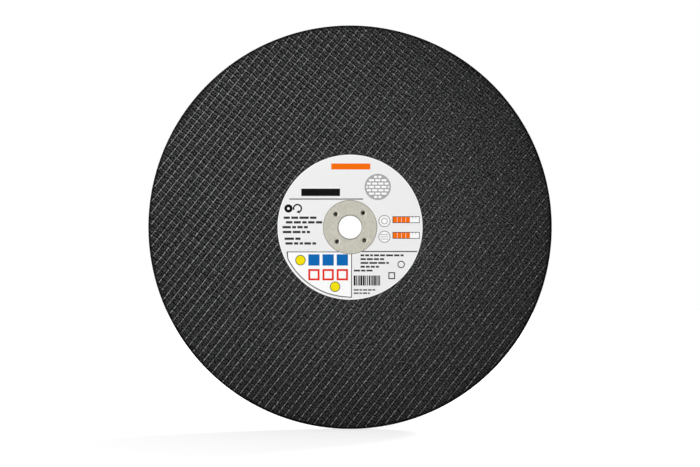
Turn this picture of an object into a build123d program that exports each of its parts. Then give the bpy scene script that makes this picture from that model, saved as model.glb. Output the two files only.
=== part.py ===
from build123d import *
import math
import os

# A reinforced resin-bonded cut-off wheel, in millimetres. It is modelled lying flat about Z
# with its labelled face up, x to the right and y up on that face, and is stood upright at the
# end, so that the label faces -Y and the bore runs along Y through the origin.

# The wheel as a whole
wheel_diameter = 350.0
wheel_thickness = 4.0
bore_diameter = 20.0

# Glass-fibre scrim: lower warp yarns, weft yarns laid across them, upper warp yarns on top
yarn_thickness = 0.14
warp_width = 1.2
weft_width = 0.8
warp_pitch = 6.05
weft_pitch = 5.09
lower_warp_offset = 2.3
weft_offset = 4.8
shortest_yarn = 1.0

# How each of the three scrims is laid: the angle of its warp from the horizontal
front_warp_angle = 51.8
back_warp_angle = 38.0
centre_warp_angle = 5.0
warp_to_weft_angle = 89.9

# Bare abrasive outside the outer scrims, and the lands that close the centre one in
face_rim_margin = 1.5
centre_rim_land = 1.5
centre_bore_land = 1.5
centre_scrim_clearance = 0.1

# Pressed steel rings: a flat flange, a rolled corner and a collar that lines the bore
ring_diameter = 46.7
ring_sheet = 0.4
ring_inner_bend = 0.5
ring_edge_radius = 0.15
collar_gap = 0.2
seat_clearance = 0.05

# Four pierced claws hold each ring in the wheel
claw_count = 4
claw_circle_radius = 16.8
claw_first_angle = 47.7
claw_mouth_radius = 2.1
claw_tip_radius = 1.1
claw_depth = 1.2
claw_petal_height = 0.6
claw_slit_width = 0.3
claw_clearance = 0.15

# Paper discs on the two faces, with the rings let into their centre holes
label_diameter = 125.7
label_thickness = 0.15
blotter_diameter = 125.7
blotter_thickness = 0.15
paper_clearance = 0.15

# Worked out from the values above
wheel_radius = wheel_diameter / 2
bore_radius = bore_diameter / 2
ring_radius = ring_diameter / 2
face_level = wheel_thickness / 2
scrim_thickness = 3 * yarn_thickness
abrasive_level = face_level - scrim_thickness
ring_level = face_level + ring_sheet
ring_outer_bend = ring_inner_bend + ring_sheet
wheel_bore_radius = bore_radius + ring_outer_bend + seat_clearance
claw_hole_radius = claw_mouth_radius + ring_sheet + claw_clearance
centre_recess_outer = wheel_radius - centre_rim_land
centre_recess_inner = wheel_bore_radius + centre_bore_land


def disc(radius, thickness, bottom):
    return Pos(0, 0, bottom) * Cylinder(radius, thickness, align=(Align.CENTER, Align.CENTER, Align.MIN))


def washer(outer_radius, inner_radius, thickness, bottom):
    return disc(outer_radius, thickness, bottom) - disc(inner_radius, thickness, bottom)


def turned_over(shape):
    return Rot(180, 0, 0) * shape


def claw_places():
    step = 360 / claw_count
    angles = [math.radians(claw_first_angle + step * number) for number in range(claw_count)]
    return [(claw_circle_radius * math.cos(angle), claw_circle_radius * math.sin(angle)) for angle in angles]


def half_chord(radius, distance):
    return math.sqrt(max(radius**2 - distance**2, 0.0))


# What is left of the stretches of a yarn once the stretch from start to end is taken away
def without(stretches, start, end):
    left = []
    for low, high in stretches:
        left.append((low, min(high, start)))
        left.append((max(low, end), high))
    return [(low, high) for low, high in left if high - low > shortest_yarn]


# One straight yarn, cut off square inside the scrim's edge and outside each round hole
def yarn(angle, offset, width, bottom, scrim_radius, holes):
    along = (math.cos(math.radians(angle)), math.sin(math.radians(angle)))
    across = (along[1], -along[0])
    reach = half_chord(scrim_radius, abs(offset) + width / 2)
    stretches = [(-reach, reach)]
    for hole_x, hole_y, hole_radius in holes:
        hole_along = hole_x * along[0] + hole_y * along[1]
        hole_across = hole_x * across[0] + hole_y * across[1]
        miss = max(abs(hole_across - offset) - width / 2, 0.0)
        blocked = half_chord(hole_radius, miss)
        if blocked > 0:
            stretches = without(stretches, hole_along - blocked, hole_along + blocked)
    pieces = []
    for low, high in stretches:
        middle = (low + high) / 2
        x = middle * along[0] + offset * across[0]
        y = middle * along[1] + offset * across[1]
        place = Pos(x, y, bottom + yarn_thickness / 2) * Rot(0, 0, angle)
        pieces.append(place * Box(high - low, width, yarn_thickness))
    return pieces


# A level of parallel yarns, a pitch apart, as far as the scrim's edge
def yarn_level(angle, first_offset, pitch, width, bottom, scrim_radius, holes):
    reach = scrim_radius - width / 2 - shortest_yarn
    lowest = math.ceil((-reach - first_offset) / pitch)
    highest = math.floor((reach - first_offset) / pitch)
    pieces = []
    for number in range(lowest, highest + 1):
        pieces += yarn(angle, first_offset + number * pitch, width, bottom, scrim_radius, holes)
    return Compound(pieces)


# The three levels of one scrim, from the bottom up
def scrim(warp_angle, bottom, scrim_radius, holes):
    same_level_pitch = 2 * warp_pitch
    upper_warp_offset = lower_warp_offset + warp_pitch
    weft_angle = warp_angle - warp_to_weft_angle
    weft_bottom = bottom + yarn_thickness
    upper_bottom = weft_bottom + yarn_thickness
    lower = yarn_level(warp_angle, lower_warp_offset, same_level_pitch, warp_width, bottom, scrim_radius, holes)
    weft = yarn_level(weft_angle, weft_offset, weft_pitch, weft_width, weft_bottom, scrim_radius, holes)
    upper = yarn_level(
        warp_angle, upper_warp_offset, same_level_pitch, warp_width, upper_bottom, scrim_radius, holes
    )
    return {"lower_warp": lower, "weft": weft, "upper_warp": upper}


# A scrim on one face of the wheel, cut out round the bore and the claws
def face_scrim(warp_angle):
    holes = [(0.0, 0.0, wheel_bore_radius)]
    holes += [(x, y, claw_hole_radius) for x, y in claw_places()]
    return scrim(warp_angle, abrasive_level, wheel_radius - face_rim_margin, holes)


# The scrim in the closed recess between the two abrasive layers
def centre_scrim():
    holes = [(0.0, 0.0, centre_recess_inner + centre_scrim_clearance)]
    return scrim(centre_warp_angle, -scrim_thickness / 2, centre_recess_outer - centre_scrim_clearance, holes)


# Half of the bonded abrasive: a disc with half of the centre recess and pockets for the claws
def abrasive_layer():
    layer = washer(wheel_radius, wheel_bore_radius, abrasive_level, 0)
    layer -= washer(centre_recess_outer, centre_recess_inner, scrim_thickness / 2, 0)
    pocket_bottom = face_level - claw_depth - claw_clearance
    for x, y in claw_places():
        layer -= Pos(x, y, 0) * disc(claw_hole_radius, abrasive_level - pocket_bottom, pocket_bottom)
    return layer


# Flange, rolled corner and collar as one section, turned about the wheel's axis
def ring_blank():
    collar_radius = bore_radius + ring_sheet
    bend_radius = bore_radius + ring_outer_bend
    bend_level = face_level - ring_inner_bend
    collar_end = collar_gap / 2
    edge_start = ring_radius - ring_edge_radius
    edge_level = ring_level - ring_edge_radius
    section = [
        Line((ring_radius, face_level), (ring_radius, edge_level)),
        CenterArc((edge_start, edge_level), ring_edge_radius, 0, 90),
        Line((edge_start, ring_level), (bend_radius, ring_level)),
        CenterArc((bend_radius, bend_level), ring_outer_bend, 90, 90),
        Line((bore_radius, bend_level), (bore_radius, collar_end)),
        Line((bore_radius, collar_end), (collar_radius, collar_end)),
        Line((collar_radius, collar_end), (collar_radius, bend_level)),
        CenterArc((bend_radius, bend_level), ring_inner_bend, 180, -90),
        Line((bend_radius, face_level), (ring_radius, face_level)),
    ]
    return revolve(Plane.XZ * make_face(section), Axis.Z)


# The outside of one claw, below the flange, with its point split into four petals
def claw_body():
    tip_level = face_level - claw_depth
    body = Pos(0, 0, tip_level) * Cone(
        claw_tip_radius + ring_sheet,
        claw_mouth_radius + ring_sheet,
        claw_depth,
        align=(Align.CENTER, Align.CENTER, Align.MIN),
    )
    slit_length = 2 * claw_hole_radius
    for angle in (0, 90):
        slit = Box(slit_length, claw_slit_width, claw_petal_height, align=(Align.CENTER, Align.CENTER, Align.MIN))
        body -= Pos(0, 0, tip_level) * Rot(0, 0, angle) * slit
    return body


# The funnel that is pierced through the flange and the claw
def claw_funnel():
    return Pos(0, 0, face_level - claw_depth) * Cone(
        claw_tip_radius,
        claw_mouth_radius,
        claw_depth + ring_sheet,
        align=(Align.CENTER, Align.CENTER, Align.MIN),
    )


def steel_ring():
    ring = ring_blank()
    for x, y in claw_places():
        facing = Pos(x, y, 0) * Rot(0, 0, math.degrees(math.atan2(y, x)))
        ring += facing * claw_body()
        ring -= facing * claw_funnel()
    return ring


def paper_disc(diameter, thickness):
    return washer(diameter / 2, ring_radius + paper_clearance, thickness, face_level)


def build_nodes():
    front_scrim = face_scrim(front_warp_angle)
    back_scrim = face_scrim(back_warp_angle)
    middle_scrim = centre_scrim()
    layer = abrasive_layer()
    ring = steel_ring()
    nodes = {
        "front_abrasive_layer": layer,
        "back_abrasive_layer": turned_over(layer),
        "front_steel_ring": ring,
        "back_steel_ring": turned_over(ring),
        "front_label": paper_disc(label_diameter, label_thickness),
        "back_blotter": turned_over(paper_disc(blotter_diameter, blotter_thickness)),
    }
    for level in front_scrim:
        nodes["front_scrim_" + level] = front_scrim[level]
        nodes["centre_scrim_" + level] = middle_scrim[level]
        nodes["back_scrim_" + level] = turned_over(back_scrim[level])
    return nodes


os.makedirs("parts", exist_ok=True)
for name, shape in build_nodes().items():
    export_step(Rot(90, 0, 0) * shape, "parts/" + name + ".step")
    print(name, "solids:", len(shape.solids()))
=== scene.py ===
import bpy
import bmesh
import math
import random
import numpy as np
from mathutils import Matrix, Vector
from mathutils.geometry import delaunay_2d_cdt


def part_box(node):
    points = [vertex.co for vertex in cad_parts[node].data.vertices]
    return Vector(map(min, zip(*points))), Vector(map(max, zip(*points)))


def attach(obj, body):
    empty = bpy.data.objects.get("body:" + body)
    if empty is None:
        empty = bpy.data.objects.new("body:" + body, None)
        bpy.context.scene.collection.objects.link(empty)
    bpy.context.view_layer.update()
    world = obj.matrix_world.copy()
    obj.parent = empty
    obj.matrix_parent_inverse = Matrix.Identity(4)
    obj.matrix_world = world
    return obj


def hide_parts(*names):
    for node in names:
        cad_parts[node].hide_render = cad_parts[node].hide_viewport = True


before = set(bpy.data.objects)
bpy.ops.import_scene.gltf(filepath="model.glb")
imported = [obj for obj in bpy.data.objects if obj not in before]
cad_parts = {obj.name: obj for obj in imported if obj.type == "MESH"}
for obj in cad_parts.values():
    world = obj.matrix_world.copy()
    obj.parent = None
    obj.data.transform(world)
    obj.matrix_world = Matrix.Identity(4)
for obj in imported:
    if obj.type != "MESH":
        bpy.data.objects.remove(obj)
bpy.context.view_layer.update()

mm = 0.001

# Sizes that come from the model, in millimetres
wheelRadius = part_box("front_abrasive_layer")[1].x / mm
faceLevel = -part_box("front_scrim_upper_warp")[0].y / mm
abrasiveLevel = -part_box("front_abrasive_layer")[0].y / mm
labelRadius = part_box("front_label")[1].x / mm
labelLevel = -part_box("front_label")[0].y / mm
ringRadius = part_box("front_steel_ring")[1].x / mm
ringLevel = -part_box("front_steel_ring")[0].y / mm
wheelFloor = -wheelRadius * mm
print("sizes read from the frame:", round(wheelRadius, 2), round(faceLevel, 2), round(labelRadius, 2))

# The bore and the steel rings
steelRings = {
    "boreRadius": 10.0,
    "sheet": 0.4,
    "cornerRadius": 0.9,
    "clawCircle": 16.8,
    "clawFirstAngle": 47.7,
    "clawMouth": 2.05,
    "clawTip": 0.95,
    "clawDepth": 1.5,
    "rowsAround": 192,
}

# The glass-fibre scrims pressed into the two faces, in millimetres and degrees
scrims = {
    "warpWidth": 0.95,
    "weftWidth": 0.6,
    "warpPitch": 6.05,
    "weftPitch": 5.09,
    "lowerWarpOffset": 2.3,
    "weftOffset": 4.8,
    "warpToWeft": 89.9,
    "frontWarpAngle": 51.8,
    "backWarpAngle": 38.0,
    "edgeMargin": 1.5,
    "weftZigzag": 0.3,
    # the resin over the yarns everywhere, then painted light and shade by place: more to the right, to the top, at
    # those two together, at the rim
    "warpCoverAndShade": (0.09, 0.088, 0.038, 0.028, 0.23),
    "weftCoverAndShade": (0.31, 0.065, -0.12, 0.008, 0.17),
    "seed": 7,
}


class Wire:
    # a shader value that ordinary arithmetic works on
    def __init__(self, maker, socket):
        self.maker = maker
        self.socket = socket

    def maths(self, operation, *values):
        return self.maker.node("ShaderNodeMath", {"operation": operation}, dict(enumerate(values)))

    def __add__(self, other):
        return self.maths("ADD", self, other)

    def __radd__(self, other):
        return self.maths("ADD", other, self)

    def __sub__(self, other):
        return self.maths("SUBTRACT", self, other)

    def __rsub__(self, other):
        return self.maths("SUBTRACT", other, self)

    def __mul__(self, other):
        return self.maths("MULTIPLY", self, other)

    def __rmul__(self, other):
        return self.maths("MULTIPLY", other, self)

    def __truediv__(self, other):
        return self.maths("DIVIDE", self, other)

    def output(self, name):
        return Wire(self.maker, self.socket.node.outputs[name])

    def fraction(self):
        return self.maths("FRACT", self)

    def size(self):
        return self.maths("ABSOLUTE", self)


class Maker:
    # builds one node tree, one method for every kind of node
    def __init__(self, name, owner=None):
        self.owner = owner or bpy.data.materials.new(name)
        self.owner.use_nodes = True
        self.tree = self.owner.node_tree
        self.tree.nodes.clear()

    def node(self, kind, settings=None, sockets=None, output=0):
        made = self.tree.nodes.new(kind)
        for key, value in (settings or {}).items():
            setattr(made, key, value)
        for key, value in (sockets or {}).items():
            if isinstance(value, Wire):
                self.tree.links.new(value.socket, made.inputs[key])
            else:
                made.inputs[key].default_value = value
        return Wire(self, made.outputs[output]) if made.outputs else made

    def coordinates(self):
        return self.node("ShaderNodeTexCoord", output="Object")

    def along(self, vector, direction):
        settings = {"operation": "DOT_PRODUCT"}
        return self.node("ShaderNodeVectorMath", settings, {0: vector, 1: direction}, output="Value")

    def noise(self, vector, size, detail=3.0, roughness=0.55, output="Fac"):
        sockets = {"Vector": vector, "Scale": 1 / (size * mm), "Detail": detail, "Roughness": roughness}
        return self.node("ShaderNodeTexNoise", {}, sockets, output=output)

    def cells(self, vector, size, randomness=1.0, output="Distance", flat=False):
        settings = {"voronoi_dimensions": "2D" if flat else "3D"}
        sockets = {"Vector": vector, "Scale": 1 / (size * mm), "Randomness": randomness}
        return self.node("ShaderNodeTexVoronoi", settings, sockets, output=output)

    def fade(self, value, low, high):
        # 0 below low, 1 above high, smooth between
        settings = {"interpolation_type": "SMOOTHSTEP"}
        sockets = {"Value": value, "From Min": low, "From Max": high}
        return self.node("ShaderNodeMapRange", settings, sockets)

    def stripe(self, value, low, full, fullEnd, end):
        # rises from low to full, falls from fullEnd to end
        return self.fade(value, low, full) * (1 - self.fade(value, fullEnd, end))

    def blend(self, factor, first, second, how="MIX"):
        settings = {"data_type": "RGBA", "blend_type": how}
        colours = [value if isinstance(value, Wire) else (*value, 1.0) for value in (first, second)]
        return self.node("ShaderNodeMix", settings, {0: factor, 6: colours[0], 7: colours[1]}, output=2)

    def bump(self, height, distance, strength=1.0, normal=None):
        sockets = {"Height": height, "Distance": distance * mm, "Strength": strength}
        if normal:
            sockets["Normal"] = normal
        return self.node("ShaderNodeBump", {}, sockets)

    def surface(self, sockets):
        shader = self.node("ShaderNodeBsdfPrincipled", {}, sockets)
        self.node("ShaderNodeOutputMaterial", {}, {"Surface": shader})
        return self.owner


def direction(angle):
    return math.cos(math.radians(angle)), math.sin(math.radians(angle))


# Sides of the wheel: where x (right), y (up) and height off the mid-plane on a face end up in the frame
def placed(side, x, y, height):
    sign = -1.0 if side == "front" else 1.0
    return np.stack([x, sign * height, -sign * y], axis=-1) * mm


def sideVectors(side, angle):
    # frame vectors that run along and across a yarn laid at this angle on a face
    up = 1.0 if side == "front" else -1.0
    c, s = direction(angle)
    return (c, 0.0, up * s), (s, 0.0, -up * c)


def makePiece(name, vertices, faces, material, node, smoothAngle=40):
    mesh = bpy.data.meshes.new(name)
    mesh.from_pydata(vertices.tolist() if hasattr(vertices, "tolist") else vertices, [], faces)
    mesh.update()
    piece = bpy.data.objects.new(name, mesh)
    bpy.context.scene.collection.objects.link(piece)
    mesh.materials.append(material)
    mesh.shade_smooth()
    mesh.set_sharp_from_angle(angle=math.radians(smoothAngle))
    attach(piece, "root")
    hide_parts(node)
    return piece


# Bonded grit: dark resin over grains about 0.7 mm across
abrasive = {
    "grainSize": 0.7,
    "grainDepth": 0.35,
    "clumpSize": 1.8,
    "fineSize": 0.25,
    # the resin's own colour, also used for the painted shade towards the rim, the lower right and the left
    "darkResinAndShade": (0.003, 0.0031, 0.0031),
    "greyResin": (0.106, 0.1098, 0.1084),
    "greyGrain": (0.15, 0.155, 0.153),
    # near-black for the painted shade beside the yarns and at the rim's very edge
    "paintedShade": (0.0015, 0.0015, 0.0015),
    "glassEnds": (0.16, 0.162, 0.158),
    "specular": 0.015,
}


def abrasiveMaterial(side, warpAngle):
    m = Maker(side + "BondedGrit")
    place = m.coordinates()
    along, acrossWarp = sideVectors(side, warpAngle)
    along, acrossWeft = sideVectors(side, warpAngle - scrims["warpToWeft"])
    warpPitch, weftPitch = scrims["warpPitch"] * mm, scrims["weftPitch"] * mm
    fromWarp = m.along(place, acrossWarp) - scrims["lowerWarpOffset"] * mm
    turn = (fromWarp / (2 * warpPitch)).fraction()
    bend = ((turn - 0.5).size() * 4 - 1) * (scrims["weftZigzag"] * mm)
    fromWeft = m.along(place, acrossWeft) - scrims["weftOffset"] * mm - bend
    warpPhase = (fromWarp / warpPitch).fraction()
    weftPhase = (fromWeft / weftPitch).fraction()
    # painted shade: dark grooves along both sides of each yarn, strongest towards the upper left; the same grooves
    # also sink the bump
    turned = 1.0 if side == "front" else -1.0
    right = m.along(place, (1, 0, 0))
    up = m.along(place, (0, 0, turned))
    broken = m.fade(m.noise(place, 1.6, 3.0), 0.3, 0.6)
    shadeBeside = m.stripe(weftPhase, 0.57, 0.7, 0.8, 0.93) * (0.33 + m.fade(up - right, -0.06, 0.16) * 0.6)
    shadeBeside = shadeBeside + m.stripe(weftPhase, 0.05, 0.1, 0.19, 0.3) * (0.4 + m.fade(up, -0.1, 0.1) * 0.3)
    shadeBeside = shadeBeside + m.stripe(warpPhase, 0.05, 0.11, 0.18, 0.28) * 0.6
    shadeBeside = shadeBeside + m.stripe(warpPhase, 0.72, 0.83, 0.9, 0.97) * 0.5
    grooveShade = m.node("ShaderNodeMath", {"operation": "MINIMUM"}, {0: shadeBeside * (0.5 + broken * 0.5), 1: 1.0})

    grain = m.cells(place, abrasive["grainSize"])
    grainTone = m.cells(place, abrasive["grainSize"], output="Color")
    tone = m.node("ShaderNodeSeparateColor", {}, {"Color": grainTone})
    fine = m.noise(place, abrasive["fineSize"], 4.0)
    patch = m.noise(place, 9.0, 3.0)
    wobble = (m.noise(place, 0.7, 2.0) - 0.5) * (1.5 * mm)
    spread = {"X": m.along(place, (0.91, 1.3, 0.41)) + wobble,
              "Y": m.along(place, (-0.41, 0.7, 0.91)) - wobble, "Z": 0.0}
    clump = m.cells(m.node("ShaderNodeCombineXYZ", {}, spread), abrasive["clumpSize"], 0.7, flat=True)
    clump = 1 - m.fade(clump, 0.2, 0.5)
    bare = m.fade(tone, 0.62, 1.0) * (0.9 + m.fade(patch, 0.3, 0.7) * 0.1) * (0.15 + clump * 0.85)
    crumb = (0.5 + m.fade(fine, 0.3, 0.7) * 0.5) * (0.12 + clump * 0.88)
    colour = m.blend(crumb, abrasive["darkResinAndShade"], abrasive["greyResin"])
    colour = m.blend(bare, colour, abrasive["greyGrain"])
    # painted shade in the grooves beside the yarns
    colour = m.blend(grooveShade * 0.9, colour, abrasive["paintedShade"])
    # painted shade: darker towards the rim and the lower right, on the left, along the border and at the rim's very
    # edge; glass ends show as light dashes round it
    radius = m.node("ShaderNodeVectorMath", {"operation": "LENGTH"}, {0: place}, output="Value")
    depth = m.along(place, (0, 1, 0)).size()
    # painted shade towards the rim and the lower right
    outward = m.fade(radius + (right - up) * 0.22, 0.085, 0.235)
    colour = m.blend(outward * 0.46, colour, abrasive["darkResinAndShade"])
    # painted shade on the left, most at the lower left
    leftwardShade = (1 - m.fade(right, -0.11, 0.11)) * (0.24 - m.fade(up, -0.1, 0.1) * 0.14)
    colour = m.blend(leftwardShade, colour, abrasive["darkResinAndShade"])
    # painted shade along the border, most at the right and the bottom
    border = m.fade(radius, (wheelRadius - 9) * mm, (wheelRadius - 1.5) * mm)
    border = border * (0.09 + m.fade(right - up * 0.5, -0.12, 0.12) * 0.26)
    colour = m.blend(border, colour, abrasive["darkResinAndShade"])
    # painted shade at the rim's very edge, most at the lower right
    brinkShade = m.fade(radius, (wheelRadius - 2.6) * mm, (wheelRadius - 1.0) * mm)
    brinkShade = brinkShade * m.fade(depth, 1.2 * mm, 1.6 * mm)
    brinkShade = brinkShade * (0.5 + m.fade(right - up, -0.17, 0.0) * 0.35)
    colour = m.blend(brinkShade, colour, abrasive["paintedShade"])
    layers = m.stripe(depth, 1.25 * mm, 1.4 * mm, 1.6 * mm, 1.75 * mm) + (1 - m.fade(depth, 0.1 * mm, 0.25 * mm))
    ends = layers * m.fade(m.noise(place, 1.1, 2.0), 0.48, 0.62) * m.fade(radius, 174.4 * mm, 174.7 * mm)
    colour = m.blend(ends * 0.8, colour, abrasive["glassEnds"])
    height = (1 - grain) * 0.6 + fine * 0.3 + bare * 0.3 - grooveShade * 0.6
    return m.surface({
        "Base Color": colour,
        "Roughness": 0.75 - m.fade(tone.output("Green"), 0.6, 1.0) * 0.25,
        "Specular IOR Level": abrasive["specular"],
        "Normal": m.bump(height, abrasive["grainDepth"], 0.9),
    })


# Glass yarns soaked in dark resin
glassYarn = {
    "warpGlass": (0.345, 0.352, 0.347),
    "weftGlass": (0.49, 0.5, 0.492),
    # the resin's colour, also used for the painted light and shade over the glass
    "resin": (0.012, 0.0122, 0.0122),
    "fibreSize": 0.09,
    "smearSize": 0.8,
    "specular": 0.2,
    "roughness": 0.4,
}


def yarnMaterial(side, angle, name):
    m = Maker(side + name)
    place = m.coordinates()
    along, across = sideVectors(side, angle)
    t = m.along(place, along)
    u = m.along(place, across)
    stretched = m.node("ShaderNodeCombineXYZ", {}, {"X": t * 0.06, "Y": u, "Z": 0.0})
    fibres = m.noise(stretched, glassYarn["fibreSize"], 2.0)
    smear = m.noise(place, glassYarn["smearSize"], 3.0, 0.6)
    # the soak carries the resin's cover and the painted light and shade by place
    soakedAndShaded = m.node("ShaderNodeAttribute", {"attribute_name": "soakedAndShaded"}, output="Fac")
    resin = m.fade(soakedAndShaded + (smear - 0.5) * 2.8, 0.0, 1.0)
    glass = glassYarn["weftGlass" if name == "WeftGlass" else "warpGlass"]
    colour = m.blend(m.fade(fibres, 0.25, 0.75) * 0.5, glass, glassYarn["resin"])
    colour = m.blend(resin, colour, glassYarn["resin"])
    normal = m.bump(fibres + smear * 0.6, 0.06, 0.7)
    return m.surface({
        "Base Color": colour,
        "Roughness": glassYarn["roughness"],
        "Specular IOR Level": glassYarn["specular"],
        "Normal": normal,
    })


def halfChord(radius, distance):
    return math.sqrt(max(radius * radius - distance * distance, 0.0))


def clawPlaces():
    angles = [steelRings["clawFirstAngle"] + 90 * number for number in range(4)]
    return [(steelRings["clawCircle"] * direction(a)[0], steelRings["clawCircle"] * direction(a)[1]) for a in angles]


def yarnStretches(angle, offset, width, edgeRadius):
    # what is left of a yarn inside the scrim's edge, outside the bore and the claws
    c, s = direction(angle)
    reach = halfChord(edgeRadius, abs(offset) + width / 2)
    stretches = [(-reach, reach)]
    holes = [(0.0, 0.0, steelRings["boreRadius"] + 1.0)]
    holes += [(x, y, 2.7) for x, y in clawPlaces()]
    for x, y, radius in holes:
        t, u = x * c + y * s, x * s - y * c
        blocked = halfChord(radius, max(abs(u - offset) - width / 2, 0.0))
        if blocked:
            ends = [(low, min(high, t - blocked)) for low, high in stretches]
            ends += [(max(low, t + blocked), high) for low, high in stretches]
            stretches = [(low, high) for low, high in ends if high - low > 1.0]
    return stretches


def wander(chance, t, waves):
    # a smooth random line: a few sines of given wavelength and size
    total = np.zeros_like(t)
    for length, size in waves:
        total += size * np.sin(2 * math.pi * t / length + chance.uniform(0, 6.283))
    return total


yarnSection = [(-1.0, 0.0), (-0.72, 0.7), (0.0, 1.0), (0.72, 0.7), (1.0, 0.0)]


def coverAndShadeOver(coverAndShade, x, y):
    # the resin's cover over a face with its painted light and shade by place, from its five terms
    right = np.clip(x / (0.45 * wheelRadius), -1.6, 1.6)
    top = np.clip(y / (0.45 * wheelRadius), -1.6, 1.6)
    rim = np.clip((np.hypot(x, y) + 0.12 * x - 0.12 * y - 92) / 130, 0, 1)
    return coverAndShade[0] + coverAndShade[1] * right + coverAndShade[2] * top + coverAndShade[3] * right * top + coverAndShade[4] * rim


def yarnSet(side, name, angle, firstOffset, pitch, width, step, lineShift, topLevel, soakAt, material, chance):
    vertices, faces, soakedAndShaded = [], [], []
    coverAndShade = scrims["weftCoverAndShade" if name == "Weft" else "warpCoverAndShade"]
    edgeRadius = wheelRadius - scrims["edgeMargin"]
    c, s = direction(angle)
    reach = edgeRadius - width
    lowest = math.ceil((-reach - firstOffset) / pitch)
    highest = math.floor((reach - firstOffset) / pitch)
    points = len(yarnSection)
    count = 0
    for number in range(lowest, highest + 1):
        offset = firstOffset + number * pitch
        for low, high in yarnStretches(angle, offset, width, edgeRadius):
            t = np.linspace(low, high, max(int((high - low) / step), 2) + 1)
            centre = offset + lineShift(t) + wander(chance, t, [(61, 0.1), (17, 0.05)])
            half = width / 2 * (1 + wander(chance, t, [(23, 0.07), (7.3, 0.06)]))
            top = topLevel(t) + wander(chance, t, [(43, 0.012), (9.1, 0.012)])
            fromRim = edgeRadius - np.hypot(t, centre)
            top = top - 0.12 * np.clip(1 - fromRim / 2.5, 0, 1)
            top = np.minimum(top, faceLevel + 0.03)
            base = top - 0.26
            soakAndShade = soakAt(t) + wander(chance, t, [(53, 0.06), (13, 0.06)])
            # painted light and shade: the cover changes towards the right, the top and the rim
            soakAndShade = soakAndShade + coverAndShadeOver(coverAndShade, t * c + centre * s, t * s - centre * c)
            for across, rise in yarnSection:
                soakedAndShaded.append(soakAndShade)
                u = centre + across * half
                x, y = t * c + u * s, t * s - u * c
                vertices.append(placed(side, x, y, base + rise * (top - base)))
            rows = len(t)
            start = np.arange(rows - 1)
            for k in range(points):
                n = (k + 1) % points
                a = count + k * rows + start
                b = count + n * rows + start
                faces.append(np.stack([a, b, b + 1, a + 1], axis=-1))
            count += rows * points
    vertices = np.concatenate(vertices)
    quads = np.concatenate(faces).tolist()
    print("yarn set", side, name, "quads:", len(quads))
    node = side + "_" + {"LowerWarp": "scrim_lower_warp", "Weft": "scrim_weft", "UpperWarp": "scrim_upper_warp"}[name]
    piece = makePiece(side + "Scrim" + name, vertices, quads, material, node, 60)
    piece.data.attributes.new("soakedAndShaded", "FLOAT", "POINT").data.foreach_set("value", np.concatenate(soakedAndShaded))
    return piece


def saw(value, period):
    # 1 where value is a whole number of periods, -1 half way between
    return 4 * np.abs(value / period - np.floor(value / period) - 0.5) - 1


def buildScrim(side, warpAngle):
    chance = random.Random(scrims["seed"] + len(side))
    warpPitch, weftPitch = scrims["warpPitch"], scrims["weftPitch"]
    lower = scrims["lowerWarpOffset"]
    upper = lower + warpPitch
    weft = scrims["weftOffset"]
    weftAngle = warpAngle - scrims["warpToWeft"]
    # t along a weft yarn is its distance across the warps; along a warp it is minus that across the wefts
    def lowerTop(t):
        return 1.83 - 0.03 * np.cos(2 * math.pi * (-t - weft) / weftPitch)

    def weftTop(t):
        turn = 2 * math.pi * (t - lower) / (2 * warpPitch)
        return 1.87 + 0.11 * np.cos(turn) - 0.04 * np.maximum(np.sin(turn), 0)

    # how far along a warp is from one weft crossing, 0, to the next, 1; side is that of the weft's bend
    def warpPhase(t, bend):
        return ((-t - weft - bend * scrims["weftZigzag"]) / weftPitch) % 1.0

    def crossing(phase, width):
        return np.exp(-(np.minimum(phase, 1 - phase) / width) ** 2)

    def upperTop(t):
        phase = warpPhase(t, -1)
        return 1.86 + 0.13 * crossing(phase, 0.14) - 0.32 * np.exp(-((phase - 0.82) / 0.08) ** 2)

    # how far resin hides the glass: least on the crossings, most where a yarn dives
    def lowerSoak(t):
        phase = warpPhase(t, 1)
        return 0.5 - 0.4 * crossing(phase, 0.15) + 0.2 * np.exp(-((phase - 0.8) / 0.09) ** 2)

    def weftSoak(t):
        turn = 2 * math.pi * (t - lower) / (2 * warpPitch)
        return 0.58 + 0.04 * np.maximum(np.sin(turn), 0) - 0.35 * np.cos(turn) ** 16

    def upperSoak(t):
        phase = warpPhase(t, -1)
        return 0.40 - 0.30 * crossing(phase, 0.15) + 0.45 * np.exp(-((phase - 0.8) / 0.1) ** 2)

    def straight(t):
        return 0.0 * t

    def zigzag(t):
        return scrims["weftZigzag"] * saw(t - lower, 2 * warpPitch)

    warpMaterial = yarnMaterial(side, warpAngle, "WarpGlass")
    weftMaterial = yarnMaterial(side, weftAngle, "WeftGlass")
    yarnSet(side, "LowerWarp", warpAngle, lower, 2 * warpPitch, scrims["warpWidth"], 1.27,
            straight, lowerTop, lowerSoak, warpMaterial, chance)
    yarnSet(side, "Weft", weftAngle, weft, weftPitch, scrims["weftWidth"], 1.5,
            zigzag, weftTop, weftSoak, weftMaterial, chance)
    yarnSet(side, "UpperWarp", warpAngle, upper, 2 * warpPitch, scrims["warpWidth"], 0.85,
            straight, upperTop, upperSoak, warpMaterial, chance)


def latticeLines(first, pitch, spots, reach):
    lowest = math.floor((-reach - first) / pitch) - 1
    highest = math.ceil((reach - first) / pitch) + 1
    lines = [first + number * pitch + spot for number in range(lowest, highest + 1) for spot in spots]
    return np.array(lines)


def pillow(u, v):
    # the abrasive's level between the yarns: a low cushion in every opening of the scrim
    warpPhase = (u - scrims["lowerWarpOffset"]) / scrims["warpPitch"]
    weftPhase = (v - scrims["weftOffset"]) / scrims["weftPitch"]
    rise = np.abs(np.sin(math.pi * warpPhase)) ** 0.6 * np.abs(np.sin(math.pi * weftPhase)) ** 0.6
    return 1.6 + 0.24 * rise


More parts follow.
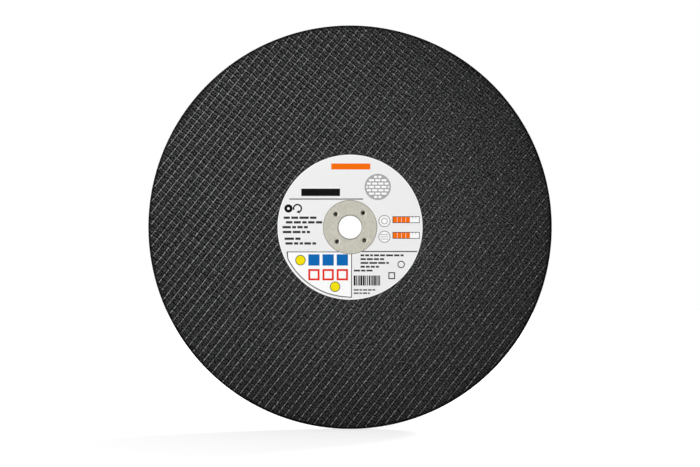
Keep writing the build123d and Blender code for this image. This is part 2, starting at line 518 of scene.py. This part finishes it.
def buildAbrasive(side, warpAngle):
    edge = wheelRadius - scrims["edgeMargin"] + 0.3
    hidden = labelRadius - 3
    c, s = direction(warpAngle)
    wc, ws = direction(warpAngle - scrims["warpToWeft"])
    uLines = latticeLines(scrims["lowerWarpOffset"], scrims["warpPitch"], (-0.75, 0.75, 2.1, 3.05, 4.0), edge)
    vLines = latticeLines(scrims["weftOffset"], scrims["weftPitch"], (-0.55, 0.55, 1.9, 3.2), edge)
    u, v = np.meshgrid(uLines, vLines, indexing="ij")
    # a point whose offsets across the warp and across the weft are u and v
    across = np.array([[s, -c], [ws, -wc]])
    xy = np.linalg.solve(across, np.stack([u.ravel(), v.ravel()]))
    x, y = xy[0].reshape(u.shape), xy[1].reshape(u.shape)
    radius = np.hypot(x, y)
    inside = (radius < edge) & (radius > hidden)
    keep = inside[:-1, :-1] | inside[1:, :-1] | inside[:-1, 1:] | inside[1:, 1:]
    snapped = np.clip(radius, hidden, edge)
    x, y = x * snapped / radius, y * snapped / radius
    chance = np.random.default_rng(scrims["seed"])
    height = pillow(u, v) + chance.normal(0, 0.025, u.shape)
    height = np.where(snapped > edge - 0.01, 1.82, height)
    height = np.where(snapped < hidden + 0.01, abrasiveLevel, height)
    index = np.arange(u.size).reshape(u.shape)
    corners = np.stack([index[:-1, :-1], index[1:, :-1], index[1:, 1:], index[:-1, 1:]], axis=-1)[keep]
    used, renumbered = np.unique(corners, return_inverse=True)
    quads = renumbered.reshape(corners.shape)
    px, py, ph = x.ravel()[used], y.ravel()[used], height.ravel()[used]
    # the border edges belong to one quad only
    edges = np.concatenate([quads[:, [k, (k + 1) % 4]] for k in range(4)])
    ordered = np.sort(edges, axis=1)
    unique, counts = np.unique(ordered, axis=0, return_counts=True)
    border = np.unique(unique[counts == 1])
    radii = np.hypot(px[border], py[border])
    outer, inner = border[radii > (edge + hidden) / 2], border[radii <= (edge + hidden) / 2]
    outer = outer[np.argsort(np.arctan2(py[outer], px[outer]))]
    inner = inner[np.argsort(np.arctan2(py[inner], px[inner]))]
    xs, ys, hs, faces = [px], [py], [ph], [quads]
    count = len(px)

    def addRings(loop, rings, rough):
        nonlocal count
        angle = np.arctan2(py[loop], px[loop])
        before = loop
        for ringRadiusHere, ringHeight in rings:
            shift = chance.normal(0, rough, len(loop))
            xs.append((ringRadiusHere - np.abs(shift)) * np.cos(angle))
            ys.append((ringRadiusHere - np.abs(shift)) * np.sin(angle))
            hs.append(np.full(len(loop), ringHeight))
            after = count + np.arange(len(loop))
            faces.append(np.stack([before, np.roll(before, -1), np.roll(after, -1), after], axis=-1))
            before = after
            count += len(loop)
        return before

    top = 1.86
    rimRadius = wheelRadius - 0.02
    rim = [(rimRadius - 0.9, top), (rimRadius - 0.25, top - 0.05), (rimRadius - 0.05, top - 0.3)]
    rim += [(rimRadius, level) for level in (1.2, 0.75, 0.35, 0.0)]
    addRings(outer, rim, 0.05)
    bore = steelRings["boreRadius"] + 0.95
    addRings(inner, [(45.0, abrasiveLevel), (25.0, abrasiveLevel), (bore, abrasiveLevel), (bore, 0.0)], 0.0)
    vertices = placed(side, np.concatenate(xs), np.concatenate(ys), np.concatenate(hs))
    allFaces = np.concatenate(faces).tolist()
    piece = makePiece(side + "AbrasiveLayer", vertices, allFaces, abrasiveMaterial(side, warpAngle),
                      side + "_abrasive_layer", 70)
    tidyNormals(piece)
    print("abrasive layer", side, "faces:", len(allFaces))


def tidyNormals(piece):
    work = bmesh.new()
    work.from_mesh(piece.data)
    bmesh.ops.recalc_face_normals(work, faces=work.faces)
    work.to_mesh(piece.data)
    work.free()


# Inks and paper of the label; everything printed on it is a plain shape
inks = {
    "paper": (0.875, 0.875, 0.875),
    "white": (1.0, 1.0, 1.0),
    "grey": (0.40, 0.40, 0.40),
    "darkGrey": (0.035, 0.035, 0.035),
    "black": (0.004, 0.004, 0.004),
    "orange": (0.94, 0.155, 0.002),
    "blue": (0.004, 0.14, 0.46),
    "red": (0.80, 0.022, 0.006),
    "yellow": (0.93, 0.78, 0.005),
    "backPaper": (0.045, 0.045, 0.044),
}

# The printed pattern, in millimetres from the wheel's centre
labelPrint = {
    "edge": labelRadius,
    "hole": ringRadius + 0.15,
    "rule": 0.9,
    "dash": 2.0,
    "paleEdge": 0.65,
    "roundel": (24.0, 34.9, 11.4),
    "arrow": (-45.6, 16.2, 3.4),
    "seed": 11,
}


def discPoints(x, y, radius, count=48):
    return [(x + radius * math.cos(2 * math.pi * k / count), y + radius * math.sin(2 * math.pi * k / count))
            for k in range(count)]


def barPoints(x0, y0, x1, y1):
    return [(x0, y0), (x1, y0), (x1, y1), (x0, y1)]


def arrowPoints(x, y, radius, line, startAngle, endAngle):
    # a round arrow: an arc with a pointed head at its end
    def at(r, a):
        return x + r * direction(a)[0], y + r * direction(a)[1]

    turns = [startAngle + (endAngle - startAngle) * k / 20 for k in range(21)]
    head = 46 if endAngle > startAngle else -46
    points = [at(radius + line / 2, a) for a in turns]
    points += [at(radius + 1.3 * line, endAngle), at(radius, endAngle + head), at(radius - 1.3 * line, endAngle)]
    return points + [at(radius - line / 2, a) for a in reversed(turns)]


def insidePolygon(points, x, y):
    inside = False
    j = len(points) - 1
    for i in range(len(points)):
        xi, yi = points[i]
        xj, yj = points[j]
        if (yi > y) != (yj > y) and x < (xj - xi) * (y - yi) / (yj - yi) + xi:
            inside = not inside
        j = i
    return inside


def printedShapes():
    shapes = []
    chance = random.Random(labelPrint["seed"])
    rule, dash = labelPrint["rule"], labelPrint["dash"]

    def bar(ink, x0, y0, x1, y1):
        shapes.append((ink, barPoints(x0, y0, x1, y1)))

    def disc(ink, x, y, radius):
        shapes.append((ink, discPoints(x, y, radius)))

    def ring(ink, x, y, radius, line, fill="white"):
        disc(ink, x, y, radius)
        disc(fill, x, y, radius - line)

    def box(ink, x0, y0, x1, y1, line, fill="white"):
        bar(ink, x0, y0, x1, y1)
        bar(fill, x0 + line, y0 + line, x1 - line, y1 - line)

    def words(x, y, end, height=dash, ink="darkGrey"):
        # a line of plain dashes, where such labels carry small print
        while x < end - height:
            run = chance.uniform(1.4, 4.2) * height
            bar(ink, x, y, min(x + run, end), y + height)
            x += run + 0.6 * height

    # the printed ground ends just short of the paper's edge
    shapes.append(("paper", discPoints(0, 0, labelPrint["edge"] - labelPrint["paleEdge"], 256)))
    # orange bar at the top, heavy black bar and rule below it
    bar("orange", -16.3, 50.0, 17.5, 55.2)
    bar("black", -42.3, 27.0, -8.7, 33.4)
    bar("darkGrey", -52.7, 24.4 - rule / 2, 11.3, 24.4 + rule / 2)
    # grey roundel with courses of bricks
    x, y, radius = labelPrint["roundel"]
    disc("grey", x, y, radius)
    for row in range(-3, 4):
        for column in range(-3, 4):
            left = x + column * 5.4 + (2.7 if row % 2 else 0.0)
            low = y + row * 2.9 - 0.9
            reach = halfChord(radius - 1.3, max(abs(low - y), abs(low + 1.8 - y)))
            x0, x1 = max(left - 2.15, x - reach), min(left + 2.15, x + reach)
            if x1 - x0 > 0.6:
                bar("white", x0, low, x1, low + 1.8)
    # plain disc and turning arrow, small print below them
    ring("black", -53.4, 16.2, 3.6, 2.5)
    x, y, radius = labelPrint["arrow"]
    shapes.append(("black", arrowPoints(x, y, radius, 1.3, 200, -60)))
    lines = ((-57.5, 8.2, -27.0), (-55.6, 4.2, -24.2), (-58.6, 0.0, -33.7), (-58.2, -4.2, -34.7),
             (-56.8, -10.0, -43.0), (-56.0, -14.1, -27.4))
    for start, middle, end in lines:
        words(start, middle - dash / 2, end)
    # two grey rings and two scale bars on the right
    for level in (6.5, -7.1):
        ring("grey", 29.8, level - 1.2, 5.3, 0.9)
        box("black", 36.8, level - 2.9, 60.3, level + 2.9, 0.55)
        for step in range(4):
            bar("orange", 37.35 + 3.7 * step, level - 2.35, 40.75 + 3.7 * step, level + 2.35)
        for step in range(2):
            bar("grey", 54.0 + 2.8 * step, level + 0.6, 54.5 + 2.8 * step, level + 2.35)
    ring("grey", 29.8, 5.3, 2.9, 0.8)
    for row in range(3):
        bar("grey", 26.3, -10.6 + 1.9 * row, 33.3, -9.9 + 1.9 * row)
    # panel with plain colour swatches at the lower left
    panel = [(-55.1, -21.1), (1.6, -21.1), (1.6, -61.2)]
    inner = [(-54.0, -21.8), (0.9, -21.8), (0.9, -60.4)]
    for k in range(1, 16):
        a = 270 - 2 - k * 4.05
        panel.append((60.9 * direction(a)[0], 60.9 * direction(a)[1]))
        inner.append((60.1 * direction(a)[0], 60.1 * direction(a)[1]))
    shapes.append(("darkGrey", panel))
    shapes.append(("white", inner))
    for column in range(3):
        left = -36.2 + 12.3 * column
        bar("blue", left, -33.3, left + 9.8, -23.5)
        box("red", left, -46.1, left + 9.8, -36.3, 1.7)
    for x, y in ((-43.0, -28.6), (-13.0, -51.6)):
        ring("black", x, y, 4.5, 0.6, "yellow")
    # lower right: small print, plain upright bars and two plain marks
    bar("darkGrey", 9.4, -21.1 - rule / 2, 58.2, -21.1 + rule / 2)
    for middle, end in ((-24.4, 46.4), (-27.7, 31.0), (-31.0, 33.6), (-34.3, 26.0)):
        words(9.1, middle - 0.8, end, 1.6)
    words(3.3, -38.4, 19.5, 1.5)
    x = 3.1
    while x < 26.5:
        run = chance.choice((0.8, 0.8, 1.2, 1.6, 2.0))
        bar("black", x, -50.6, x + run, -41.9)
        x += run + chance.choice((0.4, 0.5, 0.7))
    ring("black", 44.3, -32.3, 3.2, 0.8, "paper")
    box("black", 33.2, -45.0, 39.0, -39.0, 0.9, "paper")
    for middle, end in ((-54.4, 22.5), (-57.2, 17.0)):
        words(3.2, middle - 0.6, end, 1.2)
    return shapes


def paperMaterial(name, base, printed):
    m = Maker(name)
    place = m.coordinates()
    fibre = m.noise(place, 0.35, 4.0)
    cloud = m.noise(place, 12.0, 3.0)
    colour = m.node("ShaderNodeAttribute", {"attribute_name": "ink"}, output="Color") if printed else None
    tint = m.blend(m.fade(fibre, 0.25, 0.75), (0.94, 0.94, 0.94), (1.0, 1.0, 1.0))
    tint = m.blend(m.fade(cloud, 0.3, 0.75) * 0.3, tint, (0.95, 0.95, 0.945))
    colour = m.blend(1.0, tint, colour if printed else base, "MULTIPLY")
    return m.surface({
        "Base Color": colour,
        "Roughness": 0.55 + fibre * 0.2,
        "Specular IOR Level": 0.05,
        "Normal": m.bump(fibre + cloud, 0.03, 0.35),
    })


def paperDisc(side, name, node, printed):
    edge, hole = labelPrint["edge"] - 0.02, labelPrint["hole"]
    shapes = printedShapes() if printed else []
    outline = discPoints(0, 0, edge, 256)
    holeLine = discPoints(0, 0, hole, 128)
    points, edges, loops = [], [], []
    for loop in [outline, holeLine] + [shape for ink, shape in shapes]:
        start = len(points)
        points += [Vector(p) for p in loop]
        edges += [(start + k, start + (k + 1) % len(loop)) for k in range(len(loop))]
    flat, flatEdges, triangles, *rest = delaunay_2d_cdt(points, edges, [], 0, 1e-4)
    limits = [(min(p[0] for p in shape), max(p[0] for p in shape)) for ink, shape in shapes]
    kept, colours = [], []
    for triangle in triangles:
        x = sum(flat[k].x for k in triangle) / len(triangle)
        y = sum(flat[k].y for k in triangle) / len(triangle)
        radius = math.hypot(x, y)
        if hole < radius < edge:
            ink = "white"
            for (shapeInk, shape), (left, right) in zip(shapes, limits):
                if left < x < right and insidePolygon(shape, x, y):
                    ink = shapeInk
            kept.append(tuple(triangle))
            colours.append(inks[ink])
    xs = np.array([p.x for p in flat])
    ys = np.array([p.y for p in flat])
    low = len(xs)
    vertices = np.concatenate([
        placed(side, xs, ys, np.full(low, labelLevel - 0.005)),
        placed(side, xs, ys, np.full(low, faceLevel + 0.01)),
    ])
    single = {}
    for triangle in kept:
        for k in range(len(triangle)):
            a, b = triangle[k], triangle[(k + 1) % len(triangle)]
            if (b, a) in single:
                del single[(b, a)]
            else:
                single[(a, b)] = True
    faces = list(kept)
    faces += [tuple(low + k for k in reversed(t)) for t in kept]
    faces += [(b, a, a + low, b + low) for a, b in single]
    paper = inks["paper"]
    colours = colours + [paper] * (len(faces) - len(kept))
    material = paperMaterial(name + "Paper", inks["backPaper"], printed)
    piece = makePiece(name, vertices, faces, material, node, 30)
    if printed:
        ink = piece.data.color_attributes.new("ink", "FLOAT_COLOR", "CORNER")
        values = []
        for polygon, colour in zip(piece.data.polygons, colours):
            values += [*colour, 1.0] * polygon.loop_total
        ink.data.foreach_set("color", values)
    print("paper disc", name, "faces:", len(faces))
    return piece


def ringMaterial(side):
    m = Maker(side + "RingSteel")
    place = m.coordinates()
    flat = m.node("ShaderNodeVectorMath", {"operation": "MULTIPLY"}, {0: place, 1: (1, 0, 1)})
    radius = m.node("ShaderNodeVectorMath", {"operation": "LENGTH"}, {0: flat}, output="Value")
    brushed = m.noise(m.node("ShaderNodeCombineXYZ", {}, {"X": radius, "Y": 0.0, "Z": 0.0}), 0.25, 3.0)
    mottle = m.noise(place, 1.6, 5.0, 0.6)
    cloud = m.noise(place, 8.0, 3.0)
    colour = m.blend(m.fade(mottle, 0.3, 0.7), (0.425, 0.413, 0.351), (0.52, 0.507, 0.441))
    colour = m.blend(m.fade(cloud, 0.35, 0.75) * 0.4, colour, (0.42, 0.403, 0.344))
    # painted shade: olive in the claws' dimples, dark on the rolled corner, along the outer edge and down in the
    # claws, flecked by the mottle
    corner = m.stripe(radius, 9.7 * mm, 10.0 * mm, 10.3 * mm, 11.2 * mm)
    edge = m.fade(radius, (ringRadius - 0.5) * mm, (ringRadius - 0.15) * mm)
    level = m.along(place, (0, 1, 0)).size()
    around = m.stripe(radius, 13.3 * mm, 14.0 * mm, 19.6 * mm, 20.3 * mm)
    dimpleShade = (1 - m.fade(level, (ringLevel - 0.3) * mm, (ringLevel - 0.03) * mm)) * around
    sunkShade = (1 - m.fade(level, (ringLevel - 1.5) * mm, (ringLevel - 0.8) * mm)) * around
    colour = m.blend(dimpleShade * 0.65, colour, (0.21, 0.2, 0.145))
    # painted shade on the rolled corner, the outer edge and deep in the claws
    ringShade = m.node("ShaderNodeMath", {"operation": "MAXIMUM"}, {0: corner * 0.75, 1: edge * 0.6})
    ringShade = m.node("ShaderNodeMath", {"operation": "MAXIMUM"}, {0: ringShade, 1: sunkShade * 0.9})
    colour = m.blend(ringShade * (0.75 + mottle * 0.5), colour, (0.035, 0.033, 0.024))
    return m.surface({
        "Base Color": colour,
        "Metallic": 0.85,
        "Roughness": 0.38 + mottle * 0.2,
        "Normal": m.bump(brushed * 0.5 + mottle * 0.5, 0.02, 0.5),
    })


def buildRing(side):
    r = steelRings
    edge, bore = ringRadius - 0.02, r["boreRadius"]
    corner = bore + r["cornerRadius"]
    rows = r["rowsAround"]
    top = ringLevel - 0.005
    outline = discPoints(0, 0, edge - 0.15, rows)
    holeLine = discPoints(0, 0, corner, rows)
    points = [Vector(p) for p in outline + holeLine]
    edges = [(k, (k + 1) % rows) for k in range(rows)]
    edges += [(rows + k, rows + (k + 1) % rows) for k in range(rows)]
    claws = clawPlaces()
    tip, mouth = r["clawTip"], r["clawMouth"]
    clawRadii = [tip, tip + 0.2, tip + 0.45, mouth - 0.35, mouth - 0.1, mouth + 0.15, mouth + 0.5, mouth + 1.0]
    for x, y in claws:
        for radius in clawRadii:
            start = len(points)
            points += [Vector(p) for p in discPoints(x, y, radius, 32)]
            edges += [(start + k, start + (k + 1) % 32) for k in range(32)]
    for radius in np.arange(corner + 0.9, edge - 0.5, 0.9):
        for px, py in discPoints(0, 0, radius, 96):
            if min(math.hypot(px - x, py - y) for x, y in claws) > mouth + 1.3:
                points.append(Vector((px, py)))
    flat, flatEdges, triangles, *rest = delaunay_2d_cdt(points, edges, [], 0, 1e-4)
    xs = np.array([p.x for p in flat])
    ys = np.array([p.y for p in flat])
    heights = np.full(len(xs), top)
    for x, y in claws:
        near = np.hypot(xs - x, ys - y)
        around = np.arctan2(ys - y, xs - x)
        petal = 0.25 * np.cos(4 * around)
        depth = np.interp(near, [tip, tip + 0.45, mouth - 0.1, mouth + 0.15, mouth + 0.5, mouth + 1.0],
                          [r["clawDepth"], 0.95, 0.25, 0.12, 0.04, 0.0])
        depth = depth + np.where(near < tip + 0.1, petal, 0.0)
        heights -= depth
    faces = []
    for triangle in triangles:
        x = sum(flat[k].x for k in triangle) / 3
        y = sum(flat[k].y for k in triangle) / 3
        radius = math.hypot(x, y)
        hollow = min(math.hypot(x - cx, y - cy) for cx, cy in claws) < tip - 0.02
        if corner < radius < edge - 0.1 and not hollow:
            faces.append(tuple(triangle))
    count = len(xs)
    parts = [placed(side, xs, ys, heights)]

    def addLoop(before, radius, height):
        nonlocal count
        px, py = np.array(discPoints(0, 0, radius, rows)).T
        parts.append(placed(side, px, py, np.full(rows, height)))
        after = [count + k for k in range(rows)]
        for k in range(rows):
            n = (k + 1) % rows
            faces.append((before[k], before[n], after[n], after[k]))
        count += rows
        return after

    def loopOf(points):
        return [min(range(len(flat)), key=lambda k: (flat[k].x - p[0]) ** 2 + (flat[k].y - p[1]) ** 2) for p in points]

    before = loopOf(outline)
    for a in (30, 60, 90):
        before = addLoop(before, edge - 0.15 + 0.15 * math.sin(math.radians(a)),
                         top - 0.15 + 0.15 * math.cos(math.radians(a)))
    before = loopOf(holeLine)
    c = r["cornerRadius"]
    for a in (15, 30, 45, 60, 75, 90):
        before = addLoop(before, corner - c * math.sin(math.radians(a)), top - c + c * math.cos(math.radians(a)))
    addLoop(before, bore, 0.12)
    piece = makePiece(side + "SteelRing", np.concatenate(parts), faces, ringMaterial(side),
                      side + "_steel_ring", 35)
    tidyNormals(piece)
    outward = Vector((0, -1, 0)) if side == "front" else Vector((0, 1, 0))
    work = bmesh.new()
    work.from_mesh(piece.data)
    total = sum(face.normal.dot(outward) * face.calc_area() for face in work.faces)
    if total < 0:
        bmesh.ops.reverse_faces(work, faces=work.faces)
    work.to_mesh(piece.data)
    work.free()
    sheet = piece.modifiers.new("sheet", "SOLIDIFY")
    sheet.thickness = (r["sheet"] - 0.03) * mm
    sheet.offset = -1
    print("steel ring", side, "faces:", len(faces))


for side, warpAngle in (("front", scrims["frontWarpAngle"]), ("back", scrims["backWarpAngle"])):
    buildAbrasive(side, warpAngle)
    buildScrim(side, warpAngle)
    buildRing(side)
paperDisc("front", "frontLabel", "front_label", True)
paperDisc("back", "backBlotter", "back_blotter", False)

# the centre scrim stays as it is in the model and gets the yarns' finish
for node, angle in (("centre_scrim_lower_warp", 5.0), ("centre_scrim_weft", -84.9),
                    ("centre_scrim_upper_warp", 5.0)):
    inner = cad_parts[node]
    inner.data.materials.clear()
    inner.data.materials.append(yarnMaterial("front", angle, "CentreGlass"))


# Floor, light and camera
studio = {
    "worldFill": 0.41,
    "keyPlace": (-2.35, -1.85, 0.45),
    "keySize": 0.7,
    "keyPower": 71.0,
    "backPlace": (2.0, 1.8, 1.3),
    "backSize": 0.7,
    "backPower": 60.0,
    "floorSize": 5.0,
    "floorColour": (0.85, 0.85, 0.85, 1),
    "floorGlow": (0.5, 0.68),
    "pixelsWide": 700,
    "millimetresPerPixel": 0.8668,
    "wheelAboveMiddle": 6.32,
    "wheelRightOfMiddle": 0.07,
    "lens": 100.0,
}


def seenDirectly(m):
    path = m.node("ShaderNodeLightPath", output="Is Camera Ray")
    seen = path + path.output("Is Glossy Ray") + path.output("Is Transmission Ray")
    return m.node("ShaderNodeMath", {"operation": "MINIMUM"}, {0: seen, 1: 1.0})


def buildStudio():
    world = bpy.data.worlds.new("paleStudio")
    bpy.context.scene.world = world
    m = Maker("", world)
    seen = seenDirectly(m)
    strength = studio["worldFill"] + seen * (1 - studio["worldFill"])
    background = m.node("ShaderNodeBackground", {}, {"Color": (1, 1, 1, 1), "Strength": strength})
    m.node("ShaderNodeOutputWorld", {}, {"Surface": background})

    bpy.ops.mesh.primitive_plane_add(size=studio["floorSize"], location=(0, 0, wheelFloor))
    floor = bpy.context.object
    floor.name = "paleFloor"
    m = Maker("paleFloor")
    diffuse = m.node("ShaderNodeBsdfDiffuse", {}, {"Color": studio["floorColour"]})
    away = m.node("ShaderNodeVectorMath", {"operation": "LENGTH"}, {0: m.coordinates()}, output="Value")
    near, far = studio["floorGlow"]
    shine = seenDirectly(m) * (near + m.fade(away, 0.15, 1.0) * (far - near))
    glow = m.node("ShaderNodeEmission", {}, {"Color": (1, 1, 1, 1), "Strength": shine})
    both = m.node("ShaderNodeAddShader", {}, {0: diffuse, 1: glow})
    m.node("ShaderNodeOutputMaterial", {}, {"Surface": both})
    floor.data.materials.append(m.owner)

    for name in ("key", "back"):
        lamp = bpy.data.lights.new(name + "Lamp", "AREA")
        lamp.size = studio[name + "Size"]
        lamp.energy = studio[name + "Power"]
        lampObject = bpy.data.objects.new(name + "Lamp", lamp)
        place = Vector(studio[name + "Place"])
        lampObject.location = place
        lampObject.rotation_euler = (-place).to_track_quat("-Z", "Y").to_euler()
        bpy.context.scene.collection.objects.link(lampObject)

    camera = bpy.data.cameras.new("camera")
    camera.lens = studio["lens"]
    camera.sensor_width = 36.0
    width = studio["pixelsWide"] * studio["millimetresPerPixel"] * mm
    distance = width * camera.lens / camera.sensor_width
    cameraObject = bpy.data.objects.new("camera", camera)
    pixel = studio["millimetresPerPixel"] * mm
    left, drop = studio["wheelRightOfMiddle"] * pixel, studio["wheelAboveMiddle"] * pixel
    cameraObject.location = (-left, -faceLevel * mm - distance, -drop)
    cameraObject.rotation_euler = (math.radians(90), 0, 0)
    bpy.context.scene.collection.objects.link(cameraObject)
    bpy.context.scene.camera = cameraObject
    bpy.context.scene.view_settings.view_transform = "Standard"
    print("studio ready, camera", round(distance, 3), "m away")


buildStudio()
